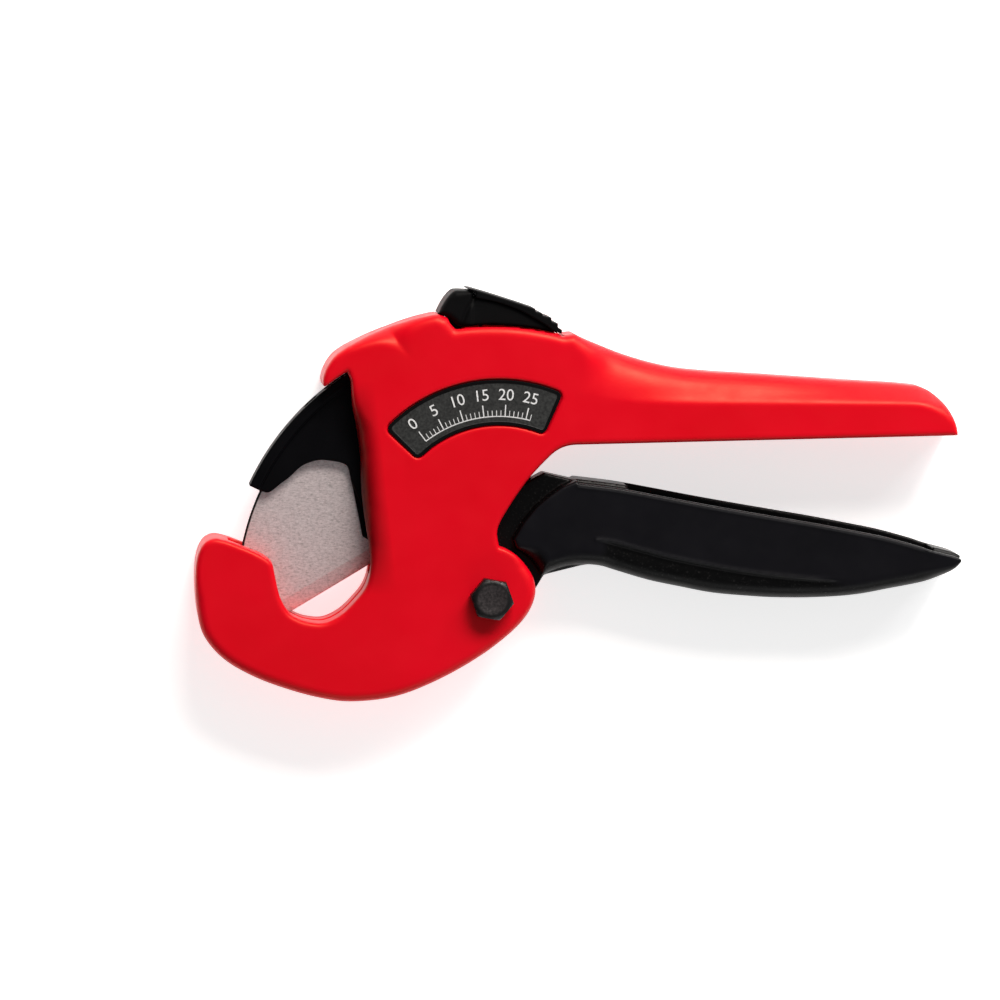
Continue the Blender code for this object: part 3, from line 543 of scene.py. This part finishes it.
def plate_outline(grow=0.0, count=30):
    inner, outer, corner = 28.9 - grow, 40.6 + grow, 1.6 + grow
    extra = math.degrees(grow / 34.7)
    first, last = 65.8 - extra, 136.5 + extra
    back = math.degrees(math.asin(corner / (outer - corner)))
    out = arc(corner, first - 90, first, 6, polar(outer - corner, first + back, PLATE_AT))
    out += arc(outer, first + back, last - back, count, PLATE_AT)[1:-1]
    out += arc(corner, last, last + 90, 6, polar(outer - corner, last - back, PLATE_AT))
    back = math.degrees(math.asin(corner / (inner + corner)))
    out += arc(corner, last + 90, last + 180, 6, polar(inner + corner, last - back, PLATE_AT))
    out += arc(inner, last - back, first + back, count, PLATE_AT)[1:-1]
    out += arc(corner, first + 180, first + 270, 6, polar(inner + corner, first + back, PLATE_AT))
    return out


plate = f.poly(plate_outline(0.3))
D = cut(D, f.slab(plate, 19.1, 23.0, 0.15), 0.35)
D = cut(D, f.slab(plate, -3.0, 0.9, 0.15), 0.35)
housing = surface("housing_casting", f, D, RED, "frame", ["housing"])

# ------------------------------------------------------------------ lower handle
LOWER_EDGE = [
    (13.6, 5.5), (16.3, 6.9), (20.5, 8.1), (24.7, 8.4), (28.9, 8.0), (33.1, 6.7), (41.5, 4.2), (50.0, 2.4), (58.3, 0.8),
    (66.7, 0.0), (75.1, -0.5), (85.6, -0.5), (96.1, 0.3), (104.5, 1.8), (112.9, 3.4), (117.1, 4.7), (121.3, 6.7),
    (123.4, 8.9), (123.9, 10.4)]
UPPER_EDGE = [
    (123.9, 10.4), (121.5, 11.4), (115.8, 12.9), (111.6, 14.3), (103.4, 16.5), (96.1, 18.0), (85.6, 20.0), (75.1, 21.8),
    (64.6, 23.6), (54.1, 25.5), (43.6, 27.5), (33.1, 29.4), (22.6, 30.7)]
f = Field((-11.0, -11.0, -0.1), (125.1, 34.0, 20.1), H * 0.8)
panel = smooth(LOWER_EDGE) + smooth(UPPER_EDGE)[1:]
panel += [(18.6, 29.0), (15.1, 26.5), (11.8, 23.7), (8.5, 19.6), (5.9, 15.2)] + arc(14.5, 62, 28, 8)
O = f.poly(panel)
top = f.line(smooth(UPPER_EDGE) + [(18.6, 29.0), (15.1, 26.5), (11.8, 23.7), (8.5, 19.6), (5.9, 15.2)])
rounding = 0.8 + 3.6 * step(top, 0.5, 8.0)
# grip flank: below a long ridge the side falls away to the finger side
RIDGE = smooth([(27.5, 15.3), (30.5, 15.0), (37.0, 13.3), (46.0, 10.9), (55.5, 8.9), (66.0, 7.0), (77.0, 5.6), (89.0, 4.7), (96.0, 4.6)])
ridge = f.line(RIDGE)
under = f.poly(RIDGE + [(96.0, -20.0), (26.0, -20.0)])
drop = step(-under, 0.0, 0.8) * 0.9 * step(f.X, 27.0, 33.0) * (1 - step(f.X, 84.0, 95.0))
lip = 0.25 * np.exp(-(ridge / 0.45) ** 2) * (1 - step(f.X, 84.0, 94.0))
bead = f.line([(x, y - 1.65) for x, y in smooth(UPPER_EDGE)])
lip = lip + 0.25 * np.exp(-(bead / 0.4) ** 2) * step(f.X, 17.5, 20.0) * (1 - step(f.X, 112.0, 117.0)) * (1 - step(-under, 0.0, 0.5))
D = f.pillow(O, 1.0 + drop - lip, 19.0 - drop + lip, rounding)
fork = arc(9.3, 150, 332, 30) + [(14.2, 5.6), (30.0, 9.5), (33.5, 14.0), (33.0, 27.4), (22.6, 30.3), (14.0, 32.3),
                                (9.0, 29.6), (0.8, 23.6), (-5.8, 14.0)]
D = join(D, f.slab(f.poly(fork), 5.8, 14.2, 0.5), 0.6)
inside = [(36.0, 9.2), (45.0, 6.1), (58.0, 3.4), (66.7, 2.6), (75.1, 2.1), (85.6, 2.1), (96.1, 2.9), (104.5, 4.3),
          (112.0, 5.8), (116.5, 7.4), (116.5, 40.0), (36.0, 40.0)]
D = cut(D, f.slab(f.poly(inside), 3.3, 16.7, 0.8))
lowered = [(x, y - 0.85) for x, y in smooth(UPPER_EDGE)]
D = cut(D, f.slab(f.poly(lowered + [(22.0, 60.0), (130.0, 60.0), (130.0, 9.0)]), 14.2, 22.0, 0.2), 0.3)
gap = arc(32.5, -30, 125, 30) + arc(32.5, 130, 320, 30)
D = cut(D, f.slab(f.poly(gap), 7.7, 12.3, 0.3), 0.2)
D = cut(D, f.slab(f.disc(5.0), 0.0, 20.0, 0.1), 0.3)
tip = polar(23.3, 76.0)
OUT = (math.cos(math.radians(76)), math.sin(math.radians(76)))
BACK = (OUT[1], -OUT[0])


def at_tip(s, h):
    return (tip[0] + s * BACK[0] + h * OUT[0], tip[1] + s * BACK[1] + h * OUT[1])


PAWL_PIN = at_tip(15.0, 0)
D = cut(D, f.slab(f.disc(1.75, PAWL_PIN), 0.5, 17.3, 0.1), 0.1)
leg_slot = np.minimum.reduce([f.disc(1.0, polar(8.3, a)) for a in range(26, 56, 4)])
D = cut(D, f.slab(leg_slot, 5.0, 8.2, 0.1), 0.1)
D = cut(D, f.slab(f.poly([at_tip(22.0, 5.2), at_tip(22.0, 7.6), at_tip(12.0, 8.2), at_tip(12.0, 5.2)]), 8.2, 11.8, 0.1), 0.1)
handle = surface("squeeze_handle", f, D, HANDLE, "handle", ["lower_handle"])


# ------------------------------------------------------------------ blade carrier
def saw(first, last, pitch, root, crest, lean=0.0):
    out = []
    a = first
    while a < last - 1e-6:
        out += [polar(root, a), polar(crest, a + lean)]
        a += pitch
    return out + [polar(root, last)]


LOWER_ARCH = [(-59.4, 27.5), (-57.5, 27.2), (-54.6, 29.4), (-52.2, 31.2), (-49.9, 33.4), (-47.8, 34.7), (-44.4, 35.6), (-40.6, 35.3),
              (-38.2, 34.7), (-36.9, 33.6), (-36.1, 30.1), (-35.0, 24.7), (-34.2, 20.8), (-33.2, 15.6)]
WEB_BACK = [polar(39.6, 121), polar(46.0, 99), polar(65.8, 84.4)]
web = saw(52, 104, 4, 22.6, 24.2, 0.15) + arc(22.6, 108, 128, 6) + [polar(29.0, 131), polar(33.5, 130)]
web += WEB_BACK + arc(66.0, 88, 156.0, 40) + smooth(LOWER_ARCH) + [(-29.0, 13.0), (-22.5, 5.0)]
web += arc(9.3, 200, 410, 30)
f = Field((-66.0, -11.0, 4.9), (25.5, 70.5, 15.3), 0.34)
D = f.slab(f.poly(web), 8.0, 12.0, 0.25)
thick = WEB_BACK + arc(67.0, 88, 154.9, 40) + smooth(LOWER_ARCH[:-3]) + [(-33.2, 23.0)] + arc(39.5, 144, 124, 8)
D = join(D, f.slab(f.poly(thick), 7.0, 13.0, 0.3), 0.4)
# the rim: a smooth flange on each side, with the ratchet teeth sunk between them
rim = arc(66.2, 155.2, 82.0, 40) + [polar(68.0, 82.0)] + saw(84, 128, 2, 68.0, 69.1, 0.33)
rim += [polar(69.1, 128.6), polar(69.1, 130.8), polar(68.1, 131.7), polar(68.1, 134.0), polar(69.1, 134.5)]
rim += arc(69.1, 136.0, 155.2, 20)
D = join(D, f.slab(f.poly(rim), 7.2, 12.8, 0.3), 0.4)
flange = arc(66.2, 155.2, 82.0, 40) + arc(69.1, 82.0, 155.2, 40)
D = join(D, f.slab(f.poly(flange), 12.0, 14.2, 0.35), 0.3)
D = join(D, f.slab(f.poly(flange), 5.8, 8.0, 0.35), 0.3)
lip = np.abs(f.disc(66.9)) - 0.35
D = join(D, f.slab(np.maximum(lip, f.poly(flange) + 0.4), 12.0, 14.45, 0.3), 0.2)
EDGE_TIP, EDGE_HEEL = (-52.2, -4.5), (-31.5, 7.9)
BLADE_BACK = [(-27.8, 10.1), (-25.4, 14.0), (-25.0, 26.0), (-17.6, 40.5), (-18.4, 48.8), (-25.6, 52.2), (-40.0, 48.6), (-50.0, 40.2)]
blade_shape = [EDGE_TIP, EDGE_HEEL] + BLADE_BACK + arc(BLADE_R, 151, 176, 16)
D = cut(D, f.slab(f.poly(blade_shape) - 0.3, 8.9, 11.1, 0.05), 0.05)
for spot in ((-29.5, 33.0), (-22.0, 45.0)):
    D = cut(D, f.slab(f.disc(2.0, spot), 5.0, 15.0, 0.05), 0.1)
    cone = (np.hypot(f.X - spot[0], f.Y - spot[1])[..., None] - (f.z - 8.9)[None, None, :]) * 0.7
    D = cut(D, np.maximum(cone, (10.9 - f.z)[None, None, :]).astype(np.float32), 0.1)
D = cut(D, f.slab(f.disc(0.95, (2.6, 61.0)), 5.0, 15.0, 0.05), 0.1)
D = cut(D, f.slab(f.disc(6.3), 5.0, 15.0, 0.05), 0.2)
carrier = surface("blade_holder", f, D, HOLDER, "blade", ["blade_carrier"])

# ------------------------------------------------------------------ blade
f = Field((-67.0, -5.4, 8.7), (-16.6, 53.1, 11.3), 0.2)
O = f.poly(blade_shape)
ex, ey = EDGE_HEEL[0] - EDGE_TIP[0], EDGE_HEEL[1] - EDGE_TIP[1]
el = math.hypot(ex, ey)
off = ((f.X - EDGE_TIP[0]) * -ey + (f.Y - EDGE_TIP[1]) * ex) / el  # distance above the cutting edge
half = 0.12 + 0.68 * np.clip(off / 3.7, 0, 1)
D = f.pillow(O, 10.0 - half, 10.0 + half, 0.08)
for spot in ((-29.5, 33.0), (-22.0, 45.0)):
    D = cut(D, f.slab(f.disc(2.0, spot), 8.0, 12.0, 0.02), 0.05)
blade = surface("cutting_blade", f, D, STEEL, "blade", ["blade"])

# ------------------------------------------------------------------ thumb lever
LEVER_TOP = [(18.6, 68.6), (15.8, 71.7), (11.6, 74.4), (7.4, 76.6), (3.1, 78.2), (-1.0, 79.2), (-4.2, 79.7)]
LEVER_FRONT = [(-4.6, 79.7), (-8.9, 80.0), (-10.6, 79.2), (-12.4, 76.9), (-13.9, 73.95)]
top_line = smooth(LEVER_TOP)
under_pad = [(x - 0.63, y - 1.26) for x, y in top_line[1:-1]]
side = [(18.0, 68.75)] + [p for p in under_pad if -4.4 < p[0] < 16.8] + [(-4.9, 78.2)] + smooth(LEVER_FRONT)
side += [(-11.3, 72.98)] + arc(70.9, 96.8, 76.2, 14)
f = Field((-14.6, 66.0, 1.2), (19.6, 81.6, 18.8), 0.26)
O = f.poly(side)
groove = f.line(smooth([(-4.4, 82.0), (-5.0, 77.6), (-6.6, 74.6), (-8.6, 69.0)]))
face = 18.0 - 0.55 * np.exp(-(groove / 0.55) ** 2) - 0.5 * step(f.X, -5.5, -4.5) * step(f.Y, 60.0, 61.0)
D = f.pillow(O, 20.0 - face, face, 0.9 + 0.9 * (1 - step(f.X, -9.0, -5.0)))
hollow = [(-3.4, 64.0), (17.0, 64.0), (14.4, 69.8), (9.8, 72.4), (5.0, 74.6), (0.0, 76.2), (-3.4, 76.6)]
D = cut(D, f.slab(f.poly(hollow), 3.8, 16.2, 0.4), 0.3)
D = cut(D, f.slab(f.disc(1.75, LEVER_PIN), 2.9, 17.1, 0.05), 0.1)
nose = [polar(68.42, 97.7), polar(69.5, 98.0), polar(74.5, 99.2), polar(74.5, 95.4), polar(69.5, 96.1)]
D = join(D, f.slab(f.poly(nose), 8.4, 11.6, 0.1), 0.2)
lever = surface("release_rocker", f, D, PLASTIC, "thumb_lever", ["release_lever"])


def height(x):
    for (xa, ya), (xb, yb) in zip(top_line, top_line[1:]):
        if xb <= x <= xa:
            return ya + (yb - ya) * (x - xa) / (xb - xa)
    return top_line[-1][1]


treads = (18.3, 17.2, 15.5, 13.2, 11.3)
pad = [(18.2, 68.8)]
for x0, x1 in zip(treads, treads[1:]):
    pad += [(x0, height(x1) - 0.45), (x1, height(x1) + 0.1)]
pad += [(11.3, 75.3), (7.4, 76.6), (2.4, 78.2), (-1.0, 79.25), (-5.2, 80.45), (-6.3, 80.6), (-6.3, 80.35), (-5.0, 79.75), (-4.1, 79.5), (-4.3, 78.2)]
pad += [(x - 0.1, y - 0.25) for x, y in under_pad[::-1] if -3.8 < x < 16.2]
D = f.slab(f.poly(pad), 1.7, 18.3, 0.15)
surface("thumb_pad_ribbed", f, D, PLASTIC, "thumb_lever", ["thumb_pad"])


# ------------------------------------------------------------------ plates, bolt and nut
def mesh_piece(name, co, faces, mat, body, nodes, sharp=30):
    mesh = bpy.data.meshes.new(name)
    mesh.from_pydata([((x - CX) * MM, (y - CY) * MM, z * MM) for x, y, z in co], [], faces)
    mesh.validate()
    mesh.materials.append(mat)
    mesh.shade_smooth()
    mesh.set_sharp_from_angle(angle=math.radians(sharp))
    obj = bpy.data.objects.new(name, mesh)
    bpy.context.scene.collection.objects.link(obj)
    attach(obj, body)
    if nodes:
        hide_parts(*nodes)
    return obj


def loft(rings, close_low=True, close_high=True):
    """Faces between closed rings of the same count; the ends are closed."""
    co, faces = [], []
    n = len(rings[0])
    for ring_ in rings:
        co += ring_
    for i in range(len(rings) - 1):
        for k in range(n):
            m = (k + 1) % n
            faces.append((i * n + k, i * n + m, (i + 1) * n + m, (i + 1) * n + k))
    if close_low:
        faces.append(tuple(range(n))[::-1])
    if close_high:
        faces.append(tuple((len(rings) - 1) * n + k for k in range(n)))
    return co, faces


def plate_piece(name, z_in, z_out, node):
    up = 1 if z_out > z_in else -1
    levels = [(z_in, 0.0), (z_out - up * 0.12, 0.0), (z_out, -0.12), (z_out, -0.85), (z_out - up * 0.1, -0.95)]
    rings = [[(x, y, z) for x, y in plate_outline(g)] for z, g in levels]
    if up < 0:
        rings = [r[::-1] for r in rings]
    co, faces = loft(rings)
    obj = mesh_piece(name, co, faces, PLATE, "frame", [node], 25)
    obj.data.materials.append(PLASTIC)
    for p in obj.data.polygons:
        if p.index < len(plate_outline()) * 3:
            p.material_index = 1
    return obj


plate_piece("scale_plate_near", 19.4, 19.97, "name_plate_near")
plate_piece("scale_plate_far", 0.6, 0.03, "name_plate_far")


def hexagon(r, z, round_to, count=72):
    """A hexagon cut back to a circle, as a bolt head is by its chamfer."""
    ring_ = []
    for k in range(count):
        a = 2 * math.pi * k / count
        inside_ = (a - math.radians(-10) + 10 * math.pi) % (math.pi / 3) - math.pi / 6
        ring_.append((min(r / math.cos(inside_), round_to) * math.cos(a), min(r / math.cos(inside_), round_to) * math.sin(a), z))
    return ring_


AF = 5.0
rings = [hexagon(3.0, 0.9, 3.0), hexagon(3.0, 20.3, 3.0), hexagon(AF - 0.25, 20.3, 5.4), hexagon(AF, 20.5, 5.774)]
rings += [hexagon(AF, 23.0, 5.774), hexagon(AF, 23.3, 5.70), hexagon(AF, 23.65, 5.38), hexagon(AF, 23.95, 4.98),
          hexagon(AF, 24.15, 4.55), hexagon(AF, 24.22, 4.2), hexagon(AF, 24.22, 3.3), hexagon(AF, 24.12, 3.05), hexagon(AF, 24.1, 1.2)]
co, faces = loft(rings)
mesh_piece("main_bolt", co, faces, BOLT, "frame", ["pivot_bolt"], 24)
rings = [hexagon(3.3, 0.5, 3.3), hexagon(AF, 0.5, 5.0), hexagon(AF, 0.85, 5.6), hexagon(AF, 1.1, 5.774), hexagon(AF, 3.4, 5.774),
         hexagon(AF, 3.7, 5.3), hexagon(3.3, 3.7, 3.3), hexagon(3.3, 0.5, 3.3)]
co, faces = loft(rings, False, False)
nut = mesh_piece("main_nut", co, faces, OXIDE, "frame", ["pivot_nut"], 24)


# ------------------------------------------------------------------ generic size scale on the plate
def scale_print(name, z, mirror):
    """A plain millimetre scale: an arc, a tick for each millimetre and a number at each fifth."""
    co, faces = [], []

    def patch(points):
        base = len(co)
        co.extend((x, y, z + dz) for dz in (-0.02, 0.02) for x, y in points)
        n = len(points)
        faces.append(tuple(base + n + k for k in range(n)))
        faces.append(tuple(base + n - 1 - k for k in range(n)))
        for k in range(n):
            m = (k + 1) % n
            faces.append((base + k, base + m, base + n + m, base + n + k))

    def angle(mm):
        return 127.5 - mm * 2.02

    for k in range(52):
        patch([polar(r, a, PLATE_AT) for r, a in (
            (31.0, angle(k / 2)), (31.0, angle(k / 2 + 0.52)), (31.28, angle(k / 2 + 0.52)), (31.28, angle(k / 2)))][::-1])
    for mm in range(27):
        tall = 34.2 if mm % 5 == 0 else 32.7
        w = 0.26 if mm % 5 == 0 else 0.17
        patch([polar(r, angle(mm) + a, PLATE_AT) for r, a in ((31.2, -w), (31.2, w), (tall, w), (tall, -w))][::-1])
    for text in ("0", "5", "10", "15", "20", "25"):
        mm = int(text)
        curve = bpy.data.curves.new("type", "FONT")
        curve.body = text
        curve.align_x = "CENTER"
        curve.size = 4.2
        curve.extrude = 0.02
        curve.resolution_u = 5
        helper = bpy.data.objects.new("type", curve)
        bpy.context.scene.collection.objects.link(helper)
        bpy.context.view_layer.update()
        m = bpy.data.meshes.new_from_object(helper.evaluated_get(bpy.context.evaluated_depsgraph_get()))
        bpy.data.objects.remove(helper)
        t = math.radians(angle(mm) - 90)
        px, py = polar(35.4, angle(mm), PLATE_AT)
        base = len(co)
        for v in m.vertices:
            x, y = v.co.x, v.co.y
            co.append((px + x * math.cos(t) - y * math.sin(t), py + x * math.sin(t) + y * math.cos(t), z + v.co.z))
        faces += [tuple(base + k for k in p.vertices) for p in m.polygons]
        bpy.data.meshes.remove(m)
    if mirror:  # read from the far side: turned over about the plate's middle line
        a = math.radians(101.15)
        ux, uy = math.cos(a), math.sin(a)
        out = []
        for x, y, zz in co:
            along = (x - PLATE_AT[0]) * ux + (y - PLATE_AT[1]) * uy
            out.append((2 * along * ux - (x - PLATE_AT[0]) + PLATE_AT[0], 2 * along * uy - (y - PLATE_AT[1]) + PLATE_AT[1], zz))
        co[:] = out
        faces[:] = [q[::-1] for q in faces]
    return mesh_piece(name, co, faces, PAINT, "frame", [])


scale_print("plate_scale_near", 19.95, False)
scale_print("plate_scale_far", 0.05, True)

# ------------------------------------------------------------------ CAD nodes that stay
KEEP = {
    "pivot_sleeve": WIRE, "lever_pin": WIRE, "lever_spring": WIRE, "handle_spring": WIRE, "return_spring": WIRE,
    "stop_pin": WIRE, "spring_anchor_pin": WIRE, "blade_screw_front": OXIDE, "blade_screw_rear": OXIDE,
    "carrier_bush": BRONZE, "drive_pawl_pin": WIRE, "drive_pawl_spring": WIRE, "drive_pawl": WIRE}
for name, mat in KEEP.items():
    mesh = NODES[name].data
    mesh.materials.clear()
    mesh.materials.append(mat)
    mesh.shade_smooth()
    mesh.set_sharp_from_angle(angle=math.radians(35))

# ------------------------------------------------------------------ floor, light and camera
floor_mesh = bpy.data.meshes.new("studio_floor")
floor_mesh.from_pydata([(-3, -3, 0), (3, -3, 0), (3, 3, 0), (-3, 3, 0)], [], [(0, 1, 2, 3)])
floor = bpy.data.objects.new("studio_floor", floor_mesh)
floor.location = (0, 0, -0.0002)
bpy.context.scene.collection.objects.link(floor)
floor_mat, ft, fsh, fat = tree("floor_white", (0.93, 0.93, 0.93), 0.85)
fsh.inputs["Emission Color"].default_value = (1, 1, 1, 1)
fsh.inputs["Emission Strength"].default_value = 0.66
floor_mesh.materials.append(floor_mat)


def lamp(name, where, size, power, target=(0.0, 0.0, 0.01), tint=(1.0, 1.0, 1.0)):
    light = bpy.data.lights.new(name, "AREA")
    light.shape = "RECTANGLE"
    light.size, light.size_y = size
    light.energy = power
    light.color = tint
    obj = bpy.data.objects.new(name, light)
    obj.location = where
    obj.rotation_euler = (Vector(target) - Vector(where)).to_track_quat("-Z", "Y").to_euler()
    bpy.context.scene.collection.objects.link(obj)


lamp("key_top", (0.33, 1.15, 0.85), (0.8, 0.5), 22, tint=(1.0, 0.93, 0.87))
lamp("fill_top_right", (0.75, 0.9, 0.5), (0.5, 0.5), 5)
lamp("fill_low", (0.2, -1.3, 0.7), (1.2, 0.5), 3)
world = bpy.data.worlds.new("studio")
world.use_nodes = True
world.node_tree.nodes["Background"].inputs["Color"].default_value = (1, 1, 1, 1)
# the room is darker on the jaw's side, as with a studio lit from the right
sky = world.node_tree
toward = sky.nodes.new("ShaderNodeTexCoord")
split = sky.nodes.new("ShaderNodeSeparateXYZ")
sky.links.new(toward.outputs["Generated"], split.inputs[0])
sky.links.new(span(sky, split.outputs["X"], -0.9, 0.3, 0.03, 0.25), sky.nodes["Background"].inputs["Strength"])
bpy.context.scene.world = world
bpy.context.scene.view_settings.view_transform = "Standard"

lens = 200.0
camera = bpy.data.cameras.new("camera")
camera.lens = lens
camera.sensor_width = 36.0
camera.clip_start, camera.clip_end = 0.1, 10
distance = 0.2625 * lens / 36.0 / 1.0065
target = Vector(((2.6 - CX) * MM, (25.2 - CY) * MM, 0.014))
z = Vector((-0.075, 0.08, 1.0)).normalized()
eye = bpy.data.objects.new("camera", camera)
eye.location = target + distance * z
x = Vector((-0.0045, 1, 0)).cross(z).normalized()
y = z.cross(x)
eye.rotation_euler = Matrix((x, y, z)).transposed().to_euler()
bpy.context.scene.collection.objects.link(eye)
bpy.context.scene.camera = eye
